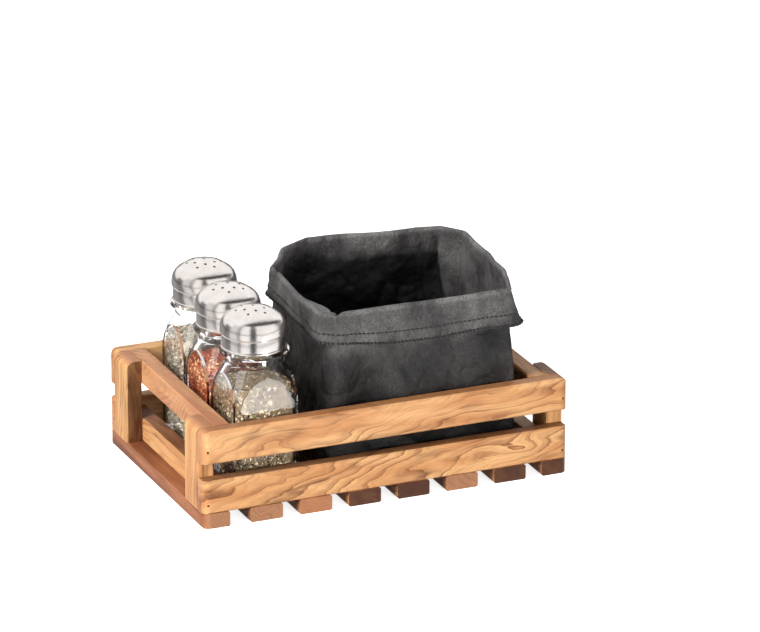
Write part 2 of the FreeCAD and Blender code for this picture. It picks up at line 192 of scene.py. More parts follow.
def olive_group():
    """Flowing olive grain in millimetres: x along the piece, y up its face, z through it."""
    tree = bpy.data.node_groups.new("olive_grain", "ShaderNodeTree")
    face = tree.interface
    sockets = (
        ("Vector", ("Vector", "Seed", "Knot")),
        ("Float", ("Knot Size", "Slope", "Spacing", "Swirl", "Contrast", "Heart")),
        ("Color", ("Light", "Mid", "Line", "Dark")),
    )
    for kind, names in sockets:
        for name in names:
            face.new_socket(name, in_out="INPUT", socket_type="NodeSocket" + kind)
    face.new_socket("Color", in_out="OUTPUT", socket_type="NodeSocketColor")
    face.new_socket("Height", in_out="OUTPUT", socket_type="NodeSocketFloat")
    s = Shader(tree)
    given = s.node("NodeGroupInput").outputs
    place = s.vector("ADD", given["Vector"], given["Seed"])

    def drawn_out(scales, detail, rough=0.5):
        """Noise stretched along the piece, its scales per millimetre."""
        return s.noise(s.vector("MULTIPLY", place, scales), 1.0, detail, rough)

    # slow warps carry the grain lines up and down
    warp = drawn_out((0.016, 0.045, 0.045), 1.5, 0.45)["Color"]
    warp = s.vector("SUBTRACT", warp, HALF)
    small = drawn_out((0.035, 0.11, 0.11), 1.5)["Color"]
    small = s.vector("SUBTRACT", small, HALF)
    warp = s.vector("SCALE", warp, given["Swirl"])
    small = s.vector("SCALE", small, s.math("MULTIPLY", given["Swirl"], 0.13))
    bent = s.vector("ADD", s.vector("ADD", given["Vector"], warp), small)
    parts = s.split(bent)

    # one knot pushes the lines aside round itself
    offset = s.vector("SUBTRACT", bent, given["Knot"])
    offset = s.vector("MULTIPLY", offset, (0.62, 1.0, 0.5))
    reach = s.math("DIVIDE", s.length(offset), given["Knot Size"])
    pull = s.math("EXPONENT", s.math("MULTIPLY", s.math("MULTIPLY", reach, reach), -1.0))
    pull = s.math("MULTIPLY", pull, s.math("MULTIPLY", given["Knot Size"], 1.5))

    across = s.math("ADD", parts["Y"], s.math("MULTIPLY", parts["Z"], 0.55))
    across = s.math("ADD", across, s.math("MULTIPLY", parts["X"], given["Slope"]))
    across = s.math("ADD", across, pull)
    phase = s.math("DIVIDE", across, given["Spacing"])
    ragged = drawn_out((0.06, 0.35, 0.35), 3.0)["Fac"]
    phase = s.math("ADD", phase, s.math("MULTIPLY", ragged, 0.55))
    # each ring has one crisp side and fades away from it
    thin = s.ramp(s.math("FRACT", phase), [
        (0.0, 0.0), (0.06, 1.0), (0.16, 0.62), (0.42, 0.2), (0.85, 0.0),
    ])
    second = s.ramp(s.math("FRACT", s.math("MULTIPLY", phase, 2.37)), [
        (0.0, 0.0), (0.1, 1.0), (0.5, 0.2), (0.9, 0.0),
    ])

    # lines come and go along the piece
    patch = drawn_out((0.022, 0.06, 0.06), 2.0)["Fac"]
    strong = s.ramp(patch, [(0.4, 0.1), (0.6, 1.0)])
    broad = drawn_out((0.012, 0.09, 0.09), 3.0)["Fac"]
    tone = s.mix(s.ramp(broad, [(0.38, 0.0), (0.6, 1.0)]), given["Light"], given["Mid"])
    line = s.math("MULTIPLY", s.math("MULTIPLY", thin, strong), given["Contrast"])
    second = s.math("MULTIPLY", second, given["Contrast"])
    line = s.math("MULTIPLY_ADD", second, 0.25, line, clamp=True)
    tone = s.mix(line, tone, given["Line"])

    # dark heartwood follows the same lines in a few places
    heart = s.math("DIVIDE", across, s.math("MULTIPLY", given["Spacing"], 4.3))
    heart = s.math("ADD", heart, s.math("MULTIPLY", broad, 1.6))
    heart = s.math("MULTIPLY_ADD", s.math("SINE", s.math("MULTIPLY", heart, TURN)), 0.5, 0.5)
    heart = s.math("POWER", heart, 7.0)
    where = s.ramp(patch, [(0.5, 0.0), (0.72, 1.0)])
    heart = s.math("MULTIPLY", s.math("MULTIPLY", heart, where), given["Heart"], clamp=True)
    tone = s.mix(heart, tone, given["Dark"])

    fibre = drawn_out((0.16, 3.4, 3.4), 3.0, 0.6)["Fac"]
    fibre_tone = s.ramp(fibre, [(0.25, 0.9), (0.75, 1.06)])
    tone = s.mix(1.0, tone, fibre_tone, "MULTIPLY")
    pores = drawn_out((0.55, 5.0, 5.0), 1.0)["Fac"]
    pore = s.ramp(pores, [(0.30, 1.0), (0.38, 0.0)])
    tone = s.mix(s.math("MULTIPLY", pore, 0.14), tone, given["Line"])
    height = s.math("MULTIPLY_ADD", line, -0.35, fibre)
    height = s.math("MULTIPLY_ADD", pore, -0.5, height)
    leaving = s.node("NodeGroupOutput")
    s.feed(leaving.inputs["Color"], tone)
    s.feed(leaving.inputs["Height"], height)
    return tree


HONEY = srgb(227, 176, 122)
TAN = srgb(205, 145, 94)
LINE_BROWN = srgb(128, 74, 42)
HEART_BROWN = srgb(84, 46, 28)
PINKISH = srgb(186, 126, 90)
BLOCK_BROWN = srgb(142, 88, 58)
BLOCK_DARK = srgb(70, 42, 32)
BLOCK_LIGHT = srgb(178, 128, 94)
STREAKS = [(0.25, 0.7), (0.65, 1.1)]
NO_KNOT = (0, 900, 0)       # so far off that it bends nothing
SEED_SPREAD = 400           # millimetres either way that a piece's grain is shifted
GRAIN_AXES = ((0, 2, 1), (1, 2, 0), (2, 1, 0))  # for each longest axis: along, up, through


def olive_wood(node_name, seed, end_colour=PINKISH, end_mix=0.55, light=HONEY, mid=TAN,
               knot=NO_KNOT, knot_size=7.0, slope=0.05, spacing=6.5, swirl=34.0,
               contrast=0.8, heart=0.8, dark_side_wood_and_shade=None):
    """Paint one batten, with the grain along its longest side and darker end grain."""
    low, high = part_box(node_name)
    low, high = Vector(low), Vector(high)
    sizes = list(high - low)
    along = sizes.index(max(sizes))
    material, s, surface = new_material("olive_" + node_name, {"Specular IOR Level": 0.35})
    local = s.vector("SUBTRACT", s.object_coordinates(), tuple((low + high) / 2))
    local = s.vector("SCALE", local, 1 / MM)
    axes = s.split(local)
    turned = {place: axes[axis] for place, axis in enumerate(GRAIN_AXES[along])}
    turned = s.node("ShaderNodeCombineXYZ", turned).outputs[0]
    random.seed(seed)
    shift = tuple(random.uniform(-SEED_SPREAD, SEED_SPREAD) for _ in range(3))
    grain = s.node("ShaderNodeGroup", node_tree=OLIVE)
    values = {
        "Vector": turned, "Seed": shift, "Knot": knot, "Knot Size": knot_size,
        "Slope": slope, "Spacing": spacing, "Swirl": swirl, "Contrast": contrast,
        "Heart": heart, "Light": (*light, 1), "Mid": (*mid, 1), "Line": (*LINE_BROWN, 1),
        "Dark": (*HEART_BROWN, 1),
    }
    for key, value in values.items():
        s.feed(grain.inputs[key], value)
    colour = grain.outputs["Color"]
    ridges = grain.outputs["Height"]
    facing = s.split(s.node("ShaderNodeTexCoord").outputs["Normal"])
    towards_end = s.math("ABSOLUTE", facing[along])
    towards_end = s.ramp(towards_end, [(0.55, 0.0), (0.95, 1.0)])
    rings = s.ramp(ridges, [(0.25, 0.5), (0.65, 1.12)])
    rings = s.mix(0.8, (*end_colour, 1), rings, "MULTIPLY")
    colour = s.mix(s.math("MULTIPLY", towards_end, end_mix), colour, rings)
    if dark_side_wood_and_shade is not None:
        # one side of the batten is darker: darker wood on some pieces and painted shade on
        # others; which axis it faces along, and its colour
        side, sign, side_colour = dark_side_wood_and_shade
        towards = s.ramp(s.math("MULTIPLY", facing[side], sign), [(0.6, 0.0), (0.95, 1.0)])
        dark_side = s.mix(0.75, colour, (*side_colour, 1))
        dark_side = s.mix(1.0, dark_side, s.ramp(ridges, STREAKS), "MULTIPLY")
        colour = s.mix(towards, colour, dark_side)
    s.feed(surface.inputs["Base Color"], colour)
    s.feed(surface.inputs["Roughness"], s.math("MULTIPLY_ADD", ridges, 0.22, 0.36))
    s.feed(surface.inputs["Normal"], s.bump(ridges, 0.35, 0.0003))
    paint(node_name, material)


FLOOR_ENDS = (BLOCK_LIGHT, BLOCK_LIGHT, PINKISH, BLOCK_DARK, BLOCK_DARK, BLOCK_LIGHT,
              BLOCK_DARK, BLOCK_DARK)
FIRST_SLAT = (srgb(168, 108, 74), srgb(112, 64, 42))    # redder than the others


def dress_crate():
    for number, end in enumerate(FLOOR_ENDS, start=1):
        light, mid = FIRST_SLAT if number == 1 else (TAN, BLOCK_BROWN)
        olive_wood("floor_slat_%d" % number, 40 + number, end_colour=end, end_mix=0.9,
                   spacing=4.0, light=light, mid=mid, heart=0.9)
    # painted shade: the top face of the upper front slat is painted darker
    olive_wood("slat_front_upper", 11, knot=(-4.0, 2.0, 4.0), knot_size=9.0, slope=-0.28,
               spacing=9.0, contrast=0.75, swirl=46.0,
               dark_side_wood_and_shade=(2, 1, srgb(164, 108, 68)))
    # painted shade: the top face of the lower front slat is painted darker, where the gap shades
    # it
    olive_wood("slat_front_lower", 12, knot=(92.0, -5.0, 4.0), knot_size=9.0, slope=-0.35,
               spacing=7.5, contrast=0.8, swirl=40.0,
               dark_side_wood_and_shade=(2, 1, srgb(116, 70, 42)))
    olive_wood("slat_back_upper", 13)
    olive_wood("slat_back_lower", 14)
    for number, place in enumerate(("front_left", "front_right", "back_left", "back_right")):
        end = srgb(98, 58, 38) if place == "front_right" else PINKISH
        dark_side_wood_and_shade = (1, -1, srgb(84, 44, 28)) if place == "back_left" else None
        olive_wood("post_" + place, 20 + number, end_colour=end, end_mix=0.8, spacing=5.0,
                   swirl=20.0, contrast=0.9, light=srgb(230, 182, 122), dark_side_wood_and_shade=dark_side_wood_and_shade)
    olive_wood("rail_left_upper", 30, spacing=5.5, swirl=30.0, slope=0.75,
               light=srgb(216, 162, 116), mid=PINKISH, contrast=0.9)
    # painted shade: the top face of the lower left rail is painted darker, where the upper rail
    # shades it
    olive_wood("rail_left_lower", 31, spacing=8.0, swirl=40.0, heart=1.0,
               dark_side_wood_and_shade=(2, 1, srgb(128, 74, 46)))
    olive_wood("rail_right_upper", 32, spacing=8.0, swirl=40.0)
    olive_wood("rail_right_lower", 33, spacing=8.0, swirl=40.0)
    material, s, surface = new_material("brad_steel", {"Metallic": 0.8, "Roughness": 0.55})
    rust = s.noise(s.object_coordinates(), 900.0, 3.0)["Fac"]
    rust = s.ramp(rust, [(0.3, srgb(74, 52, 38)), (0.7, srgb(112, 86, 66))])
    s.feed(surface.inputs["Base Color"], rust)
    paint("crate_brads", material)


# ------------------------------------------------ glass and steel
GLASS_TINT = (0.93, 0.935, 0.935, 1)
GLASS_IOR = 1.3             # real glass is about 1.5
GLASS_DEPTH = 3.5           # bounces after which a ray leaves the wall straight


def glass_material():
    material, s, surface = new_material("clear_glass", {
        "Base Color": GLASS_TINT, "Transmission Weight": 1.0, "IOR": GLASS_IOR, "Roughness": 0.0,
    })
    ripple = s.noise(s.object_coordinates(), 60.0, 2.0)["Fac"]
    s.feed(surface.inputs["Normal"], s.bump(ripple, 0.12, 0.0015))
    clear = s.node("ShaderNodeBsdfTransparent", {"Color": (0.96, 0.96, 0.96, 1)})
    path = s.node("ShaderNodeLightPath").outputs
    # rays that have bounced about in the wall leave it straight, so that it doesn't go black
    straight = s.math("GREATER_THAN", path["Ray Depth"], GLASS_DEPTH)
    straight = s.math("MAXIMUM", path["Is Shadow Ray"], straight)
    both = s.node("ShaderNodeMixShader", {
        0: straight, 1: surface.outputs[0], 2: clear.outputs[0],
    })
    s.feed(s.tree.nodes["Material Output"].inputs["Surface"], both.outputs[0])
    return material


def steel_material():
    material, s, surface = new_material("bright_steel", {"Metallic": 1.0})
    at = s.object_coordinates()
    cloud = s.noise(at, 140.0, 3.0)["Fac"]
    scratches = s.noise(s.vector("MULTIPLY", at, (900, 900, 9000)), 1.0, 2.0)["Fac"]
    s.feed(surface.inputs["Base Color"], s.ramp(cloud, [
        (0.3, srgb(226, 219, 214)), (0.7, srgb(238, 232, 228)),
    ]))
    wear = s.math("MULTIPLY_ADD", scratches, 0.08, 0.17)
    s.feed(surface.inputs["Roughness"], wear)
    s.feed(surface.inputs["Normal"], s.bump(scratches, 0.04, 0.0002))
    return material


# ------------------------------------------------ mesh building
WELD_DISTANCE = 0.00002
FLAT_ANGLE = math.radians(0.5)


def mesh_object(name, vertices, faces, material, smooth=True):
    mesh = bpy.data.meshes.new(name)
    mesh.from_pydata([tuple(v) for v in vertices], [], faces)
    mesh.validate()
    if smooth:
        mesh.polygons.foreach_set("use_smooth", [True] * len(mesh.polygons))
    mesh.materials.append(material)
    obj = bpy.data.objects.new(name, mesh)
    bpy.context.scene.collection.objects.link(obj)
    return obj


def apply_modifiers(obj):
    layer = bpy.context.evaluated_depsgraph_get()
    mesh = bpy.data.meshes.new_from_object(obj.evaluated_get(layer))
    obj.modifiers.clear()
    obj.data = mesh


def smooth_shell(node_name, piece_name, material, crease_angle):
    """The same form as a CAD node cut in flats, with its rounds shaded smooth."""
    shape = bmesh.new()
    shape.from_mesh(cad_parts[node_name].data)
    bmesh.ops.remove_doubles(shape, verts=shape.verts, dist=WELD_DISTANCE)
    bmesh.ops.dissolve_limit(
        shape, angle_limit=FLAT_ANGLE, verts=shape.verts, edges=shape.edges,
        delimit={"NORMAL"},
    )
    bmesh.ops.triangulate(shape, faces=[face for face in shape.faces if len(face.verts) > 4])
    shape.verts.index_update()
    vertices = [vertex.co.copy() for vertex in shape.verts]
    faces = [[vertex.index for vertex in face.verts] for face in shape.faces]
    shape.free()
    shell = mesh_object(piece_name, vertices, faces, material)
    shell.data.set_sharp_from_angle(angle=crease_angle)
    return shell


def smoothstep(low, high, value):
    share = min(1.0, max(0.0, (value - low) / (high - low)))
    return share * share * (3.0 - 2.0 * share)


class Crumple:
    """Flat facets between random points, as in creased paper: a height at every place."""

    def __init__(self, seed, width, height, pitch, depth):
        rng = random.Random(seed)
        spots = []
        columns = max(3, round(width / pitch))
        rows = max(2, round(height / pitch))
        for i in range(columns):
            for j in range(rows + 1):
                at_x = (i + rng.uniform(0.05, 0.95)) * width / columns
                at_y = (j + rng.uniform(-0.45, 0.45)) * height / rows
                spots.append((at_x, at_y, rng.gauss(0, depth)))
        # the sheet closes on itself, so the spots near its ends are there twice
        points, values = [], []
        for at_x, at_y, value in spots:
            for shift in (-width, 0, width):
                if -pitch * 2 < at_x + shift < width + pitch * 2:
                    points.append(Vector((at_x + shift, at_y)))
                    values.append(value)
        found = geometry.delaunay_2d_cdt(points, [], [], 0, 1e-4)
        self.points, _, triangles, sources = found[:4]
        self.values = [values[ids[0]] for ids in sources]
        self.cells = {}
        self.pitch = pitch
        for triangle in triangles:
            corners = [self.points[i] for i in triangle]
            across = [int(c.x // pitch) for c in corners]
            upward = [int(c.y // pitch) for c in corners]
            for cell_x in range(min(across), max(across) + 1):
                for cell_y in range(min(upward), max(upward) + 1):
                    self.cells.setdefault((cell_x, cell_y), []).append(tuple(triangle))

    def at(self, x, y):
        place = Vector((x, y))
        for a, b, c in self.cells.get((int(x // self.pitch), int(y // self.pitch)), ()):
            first, second, third = self.points[a], self.points[b], self.points[c]
            whole = (second - first).cross(third - first)
            if abs(whole) < 1e-9:
                continue
            share_a = (second - place).cross(third - place) / whole
            share_b = (third - place).cross(first - place) / whole
            share_c = 1.0 - share_a - share_b
            if min(share_a, share_b, share_c) >= -1e-6:
                values = self.values
                return share_a * values[a] + share_b * values[b] + share_c * values[c]
        return 0.0


# ------------------------------------------------ shakers
BODY_HALF = 19.25           # of the space inside the glass, in millimetres
BODY_CORNER = 2.7
FILL_FOOT = 6.2
FILL_TOP = 73.0
SHOULDER_START = 50.0
SHOULDER_CENTRE = -32.04
SHOULDER_RADIUS = 59.2
FLAKE_COUNT = 4200
TOP_FLAKE_COUNT = 420
CORE_RINGS = 26             # of the dark core behind the flakes
CORE_SIDES = 72
CORE_INSET = 0.9            # from the glass
CORE_DROP = 0.6             # of its rim from the top of the fill
BOTTLE_CREASE = math.radians(24)
DOME_CREASE = math.radians(35)
SPICES = {                  # slot, seed, flake size, its width as a share, colours
    "front": ("herbs", 31, 2.9, 0.38, [
        (0.0, srgb(12, 9, 6)), (0.3, srgb(40, 32, 21)), (0.5, srgb(82, 68, 48)),
        (0.72, srgb(134, 114, 88)), (0.95, srgb(214, 196, 168)),
    ]),
    "middle": ("chili", 32, 2.8, 0.7, [
        (0.0, srgb(44, 13, 8)), (0.3, srgb(86, 30, 17)), (0.6, srgb(122, 52, 29)),
        (0.82, srgb(160, 94, 55)), (0.95, srgb(208, 172, 124)),
    ]),
    "rear": ("pepper", 33, 2.0, 0.8, [
        (0.0, srgb(34, 30, 26)), (0.25, srgb(80, 71, 60)), (0.5, srgb(122, 112, 97)),
        (0.75, srgb(164, 154, 136)), (0.95, srgb(208, 200, 184)),
    ]),
}


def inside_reach(angle, height):
    """How far the space inside the glass reaches from the bottle's axis."""
    widest = max(abs(math.cos(angle)), abs(math.sin(angle)))
    flat = BODY_HALF / widest
    corner = math.sqrt(2) * (BODY_HALF - BODY_CORNER) + BODY_CORNER
    above = max(0.0, height - SHOULDER_START)
    shoulder = SHOULDER_CENTRE + math.sqrt(SHOULDER_RADIUS ** 2 - above ** 2)
    return min(flat, corner, shoulder)


def add_flake(vertices, faces, at, outward, rng, size, narrow):
    """A thin four-cornered chip that leans on the glass."""
    lean = Vector((rng.gauss(0, 1), rng.gauss(0, 1), rng.gauss(0, 1))).normalized()
    normal = (outward + lean * 0.55).normalized()
    along = normal.orthogonal()
    along.rotate(Quaternion(normal, rng.uniform(0, 2 * math.pi)))
    across = normal.cross(along)
    long_half = size * rng.uniform(0.45, 1.0) / 2
    wide_half = long_half * rng.uniform(narrow * 0.6, narrow * 1.3)
    base = len(vertices)
    corners = (
        along * long_half, across * wide_half,
        along * -long_half * rng.uniform(0.5, 1.0), across * -wide_half,
    )
    for corner in corners:
        vertices.append(at + corner)
    vertices.append(at + normal * wide_half * 0.5)
    vertices.append(at - normal * wide_half * 0.5)
    for index in range(4):
        following = (index + 1) % 4
        faces.append((base + index, base + following, base + 4))
        faces.append((base + following, base + index, base + 5))


def spice_material(place, stops):
    material, s, surface = new_material("spice_" + place, {
        "Roughness": 0.8, "Specular IOR Level": 0.2,
    })
    chip = s.node("ShaderNodeNewGeometry").outputs["Random Per Island"]
    speck = s.noise(s.object_coordinates(), 1400.0, 2.0)["Fac"]
    share = s.math("MULTIPLY_ADD", s.math("SUBTRACT", speck, 0.5), 0.5, chip, clamp=True)
    s.feed(surface.inputs["Base Color"], s.ramp(share, stops))
    return material


def around(angle, reach, height):
    return Vector((reach * math.cos(angle), reach * math.sin(angle), height))


def make_spice(place):
    """Dry flakes pressed against the glass round a core, and loose on top."""
    slot, seed, size, narrow, stops = SPICES[place]
    rng = random.Random(seed)
    low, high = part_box("bottle_" + place)
    axis = Vector(((low[0] + high[0]) / 2, (low[1] + high[1]) / 2, low[2])) / MM
    vertices, faces = [], []
    sides = CORE_SIDES
    for ring in range(CORE_RINGS + 1):
        height = FILL_FOOT + (FILL_TOP - CORE_DROP - FILL_FOOT) * ring / CORE_RINGS
        for side in range(sides):
            angle = 2 * math.pi * side / sides
            reach = inside_reach(angle, height) - CORE_INSET + rng.uniform(-0.25, 0.25)
            vertices.append(axis + around(angle, reach, height + rng.uniform(-0.3, 0.3)))
    for ring in range(CORE_RINGS):
        for side in range(sides):
            a = ring * sides + side
            b = ring * sides + (side + 1) % sides
            faces.append((a, b, b + sides, a + sides))
    faces.append(tuple(reversed(range(sides))))
    # the top of the core slopes in to a cap
    top_start = CORE_RINGS * sides
    inner = len(vertices)
    for side in range(sides):
        rim = vertices[top_start + side]
        spot = axis.lerp(Vector((rim.x, rim.y, axis.z)), 0.55)
        vertices.append(Vector((spot.x, spot.y, axis.z + FILL_TOP + rng.uniform(-0.7, 0.2))))
        after = (side + 1) % sides
        faces.append((top_start + side, top_start + after, inner + after, inner + side))
    faces.append(tuple(inner + side for side in range(sides)))
    for _ in range(FLAKE_COUNT):
        angle = rng.uniform(0, 2 * math.pi)
        height = FILL_FOOT + (FILL_TOP - FILL_FOOT) * rng.random()
        reach = inside_reach(angle, height) - rng.uniform(0.35, 0.8)
        outward = Vector((math.cos(angle), math.sin(angle), 0))
        at = axis + outward * reach + Vector((0, 0, height))
        add_flake(vertices, faces, at, outward, rng, size, narrow)
    for _ in range(TOP_FLAKE_COUNT):
        angle = rng.uniform(0, 2 * math.pi)
        reach = (inside_reach(angle, FILL_TOP) - CORE_INSET) * math.sqrt(rng.random())
        at = axis + around(angle, reach, FILL_TOP - rng.uniform(0.1, 0.6))
        add_flake(vertices, faces, at, Vector((0, 0, 1)), rng, size, narrow)
    material = spice_material(place, stops)
    spice = mesh_object("spice_" + place, [v * MM for v in vertices], faces, material, False)
    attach(spice, "shaker_" + place)
    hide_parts("fill_" + place)


def make_shakers():
    glass = glass_material()
    steel = steel_material()
    for place in ("front", "middle", "rear"):
        bottle = smooth_shell("bottle_" + place, "glass_" + place, glass, BOTTLE_CREASE)
        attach(bottle, "shaker_" + place)
        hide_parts("bottle_" + place)
        dome = smooth_shell("lid_" + place, "dome_" + place, steel, DOME_CREASE)
        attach(dome, "lid_" + place)
        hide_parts("lid_" + place)
        make_spice(place)


# ------------------------------------------------ paper bag
# Plan corners of the bag in millimetres, anticlockwise from the front left.
BAG_FOOT = [(-36, -71.5), (94, -71.5), (98, -62), (97, 44), (89, 62), (7, 66), (-19, 54),
            (-37, 26), (-41, -65.5)]
BAG_RIM = [(-30, -69.5), (89, -70.5), (101, -35.5), (106, 40), (96, 55), (7, 68), (-15, 57),
           (-34, 26), (-37, -63.5)]
BAG_MIDDLE = (30.0, 0.0, 0.0)
BAG_FLOOR_Z = 11.0
BAG_RIM_Z = 126.0
BAG_CUFF_HEIGHT = 22.5
BAG_CUFF_FLARE = 3.4
PAPER_THICKNESS = 0.7
PAPER_INSET = 0.9           # of the paper's middle from the outline
PAPER_CREASE = math.radians(22)
FOLD_RADIUS = 1.1
SHEET_AROUND = 470.0        # nominal size of the creased sheet
SHEET_HEIGHT = 150.0
AROUND_COUNT = 420
BODY_ROWS = 84
FOLD_ROWS = 6
CUFF_ROWS = 20
WALL_ROWS = BODY_ROWS + 1
CUFF_START = WALL_ROWS + FOLD_ROWS
CREASES = ((5, 30.0, 3.0), (8, 14.0, 0.85), (6, 6.0, 0.16))     # seed, pitch, depth
CALM_NEAR_RIM = (78.0, 106.0)
CALM_NEAR_FLOOR = 14.0      # height above the floor where the creases are whole
HELD_X, HELD_Y = 96.0, -66.0
CUFF_TIP = (89.0, -71.0)
TIP_REACH = 4.5             # outward, of the cuff's corner at its hem
LEFT_RISE = 4.5             # of the hem on the left
LEFT_SHIFT = 1.8
TUCK_SPOT = (-29.0, -69.0)
TUCK_DEPTH = 2.2
STEP_PLACE = 18.0
STEP_DEPTH = 1.6
DENT_DEPTH = 7.0
FLATTEN_FROM = -70.6        # where the front wall begins to flatten against the slats
SLAT_LIMIT = -72.2          # and where the middle of its paper stops
FREE_ABOVE = (67.0, 75.0)   # heights over which it comes free above the slats


def loop_samples(corners_low, corners_high, share, counts):
    """Even steps along every side of the outline mixed from two, always the same count."""
    mixed = [Vector(a).lerp(Vector(b), share) for a, b in zip(corners_low, corners_high)]
    samples = []
    for index, corner in enumerate(mixed):
        following = mixed[(index + 1) % len(mixed)]
        for step in range(counts[index]):
            samples.append(corner.lerp(following, step / counts[index]))
    return samples


def soften(samples):
    count = len(samples)
    return [
        samples[i] * 0.5 + (samples[i - 1] + samples[(i + 1) % count]) * 0.25
        for i in range(count)
    ]


def normals_2d(samples):
    count = len(samples)
    result = []
    for i in range(count):
        along = samples[(i + 1) % count] - samples[i - 1]
        result.append(Vector((along.y, -along.x)).normalized())
    return result


def side_counts(corners, total):
    lengths = []
    for index, corner in enumerate(corners):
        lengths.append((Vector(corners[(index + 1) % len(corners)]) - Vector(corner)).length)
    counts = [max(5, round(total * length / sum(lengths))) for length in lengths]
    counts[0] += total - sum(counts)
    return counts


def bag_rows():
    """Path of the sheet in section: up the wall, over the fold and down the cuff.

    Each row is (height, outward offset, distance along the sheet)."""
    rows = []
    wall_top = BAG_RIM_Z - FOLD_RADIUS
    for step in range(WALL_ROWS):
        height = BAG_FLOOR_Z + (wall_top - BAG_FLOOR_Z) * step / BODY_ROWS
        rows.append((height, 0.0, height - BAG_FLOOR_Z))
    travelled = wall_top - BAG_FLOOR_Z
    for step in range(1, FOLD_ROWS + 1):
        angle = math.pi * step / (FOLD_ROWS + 1)
        rows.append((
            wall_top + FOLD_RADIUS * math.sin(angle), FOLD_RADIUS * (1 - math.cos(angle)),
            travelled + FOLD_RADIUS * angle,
        ))
    travelled += FOLD_RADIUS * math.pi
    for step in range(CUFF_ROWS + 1):
        share = step / CUFF_ROWS
        rows.append((
            wall_top - BAG_CUFF_HEIGHT * share,
            2 * FOLD_RADIUS + BAG_CUFF_FLARE * share ** 1.3 * 0.6,
            travelled + BAG_CUFF_HEIGHT * share,
        ))
    return rows


def waviness(at, scale, layer):
    """Smooth noise over the plan, different on every layer."""
    return noise.noise(Vector((at.x * scale, at.y * scale, layer)))


def nearness(x, y, spot, spread):
    """1 at a spot of the plan, fading away from it."""
    return math.exp(-((x - spot[0]) ** 2 + (y - spot[1]) ** 2) / spread)


def bag_sheet_points():
    """Middle surface of the paper as rows of points in millimetres."""
    counts = side_counts(BAG_RIM, AROUND_COUNT)
    big, middle, small = (
        Crumple(seed, SHEET_AROUND, SHEET_HEIGHT, pitch, depth)
        for seed, pitch, depth in CREASES
    )
    surface = []
    for row_index, (height, offset, travelled) in enumerate(bag_rows()):
        climbed = height - BAG_FLOOR_Z
        share = min(1.0, climbed / (BAG_RIM_Z - BAG_FLOOR_Z))
        samples = soften(loop_samples(BAG_FOOT, BAG_RIM, share, counts))
        on_cuff = row_index >= CUFF_START
        cuff_share = (row_index - CUFF_START) / CUFF_ROWS
        near_rim = smoothstep(*CALM_NEAR_RIM, height)
        near_floor = 1.0 - smoothstep(BAG_FLOOR_Z, BAG_FLOOR_Z + CALM_NEAR_FLOOR, height)
        ring = []
        for i, (at, normal) in enumerate(zip(samples, normals_2d(samples))):
            along = SHEET_AROUND * i / AROUND_COUNT
            crease = big.at(along, climbed) * (1.0 - 0.75 * near_rim)
            crease += middle.at(along, climbed) * (1.0 - 0.4 * near_rim)
            if on_cuff:
                # the cuff lies over the wall's own dents and is creased a little more
                crease += abs(middle.at(along, travelled)) * 0.5
            crease += small.at(along, travelled)
            crease *= 1.0 - 0.8 * near_floor
            if not on_cuff:
                # held flat at the front right corner
                held = (at.x - HELD_X) ** 2 / 400.0 + (at.y - HELD_Y) ** 2 / 1600.0
                crease *= 1.0 - 0.85 * math.exp(-held)
            push = offset - PAPER_INSET + crease
            lift = 0.0
            if row_index >= WALL_ROWS:
                lift += 0.9 * waviness(at, 0.03, 3.0)
            if on_cuff:
                push += cuff_share * TIP_REACH * nearness(at.x, at.y, CUFF_TIP, 160.0)
                push += cuff_share * (0.5 + 1.1 * waviness(at, 0.045, 7.0))
                lift += cuff_share * 1.1 * waviness(at, 0.02, 9.0)
            surface_point = at + normal * push
            ring.append([surface_point.x, surface_point.y, height + lift])
        surface.append(ring)
    return surface


def bag_shapes(surface):
    """The tucks and dents photographed, and the front wall flattened at the slats."""
    room = FLATTEN_FROM - SLAT_LIMIT
    for row_index, ring in enumerate(surface):
        on_wall = row_index < WALL_ROWS
        on_cuff = row_index >= CUFF_START
        for point in ring:
            x, y, z = point
            # the left of the cuff rides up and stands higher at its front corner
            if on_cuff:
                share = (row_index - CUFF_START) / CUFF_ROWS
                point[2] += LEFT_RISE * (1.0 - smoothstep(-36.0, 10.0, x)) * share
                point[0] += LEFT_SHIFT * (1.0 - smoothstep(-36.0, -24.0, x)) * share
            # tuck in the fold at the front left corner
            if row_index >= WALL_ROWS - 8:
                tuck = nearness(x, y, TUCK_SPOT, 9.0)
                point[2] -= TUCK_DEPTH * tuck * (0.5 if on_cuff else 1.0)
            # step in the rim half way along the left side
            if x < -20 and row_index >= WALL_ROWS - 5 and not on_cuff:
                point[2] -= STEP_DEPTH * math.exp(-((y - STEP_PLACE) ** 2) / 5.0)
            # the left wall is pushed in below the cuff beside its front corner
            if on_wall and x < -28 and y < -20:
                height_in = smoothstep(56.0, 98.0, z)
                reach = 1.0 - smoothstep(-62.0, -26.0, y)
                edge = smoothstep(-72.0, -60.0, y)
                point[0] += DENT_DEPTH * height_in * reach * edge
            # the front wall is pressed flat against the crate's front slats
            past = FLATTEN_FROM - y
            if on_wall and past > 0.0:
                pressed = FLATTEN_FROM - room * (1.0 - math.exp(-past / room))
                point[1] += (pressed - y) * (1.0 - smoothstep(*FREE_ABOVE, z))
    return surface


SHADE_WANDER = 22.0         # millimetres that the edge of the shading strays
LINING_SHADE_DROP = 46.0          # how much lower the right wall's lining goes dark in painted shade
INWARD_REACH = 12           # millimetres over which a face counts as turned inwards
LEFT_SPAN = 60.0
RIGHT_SPAN = 120.0


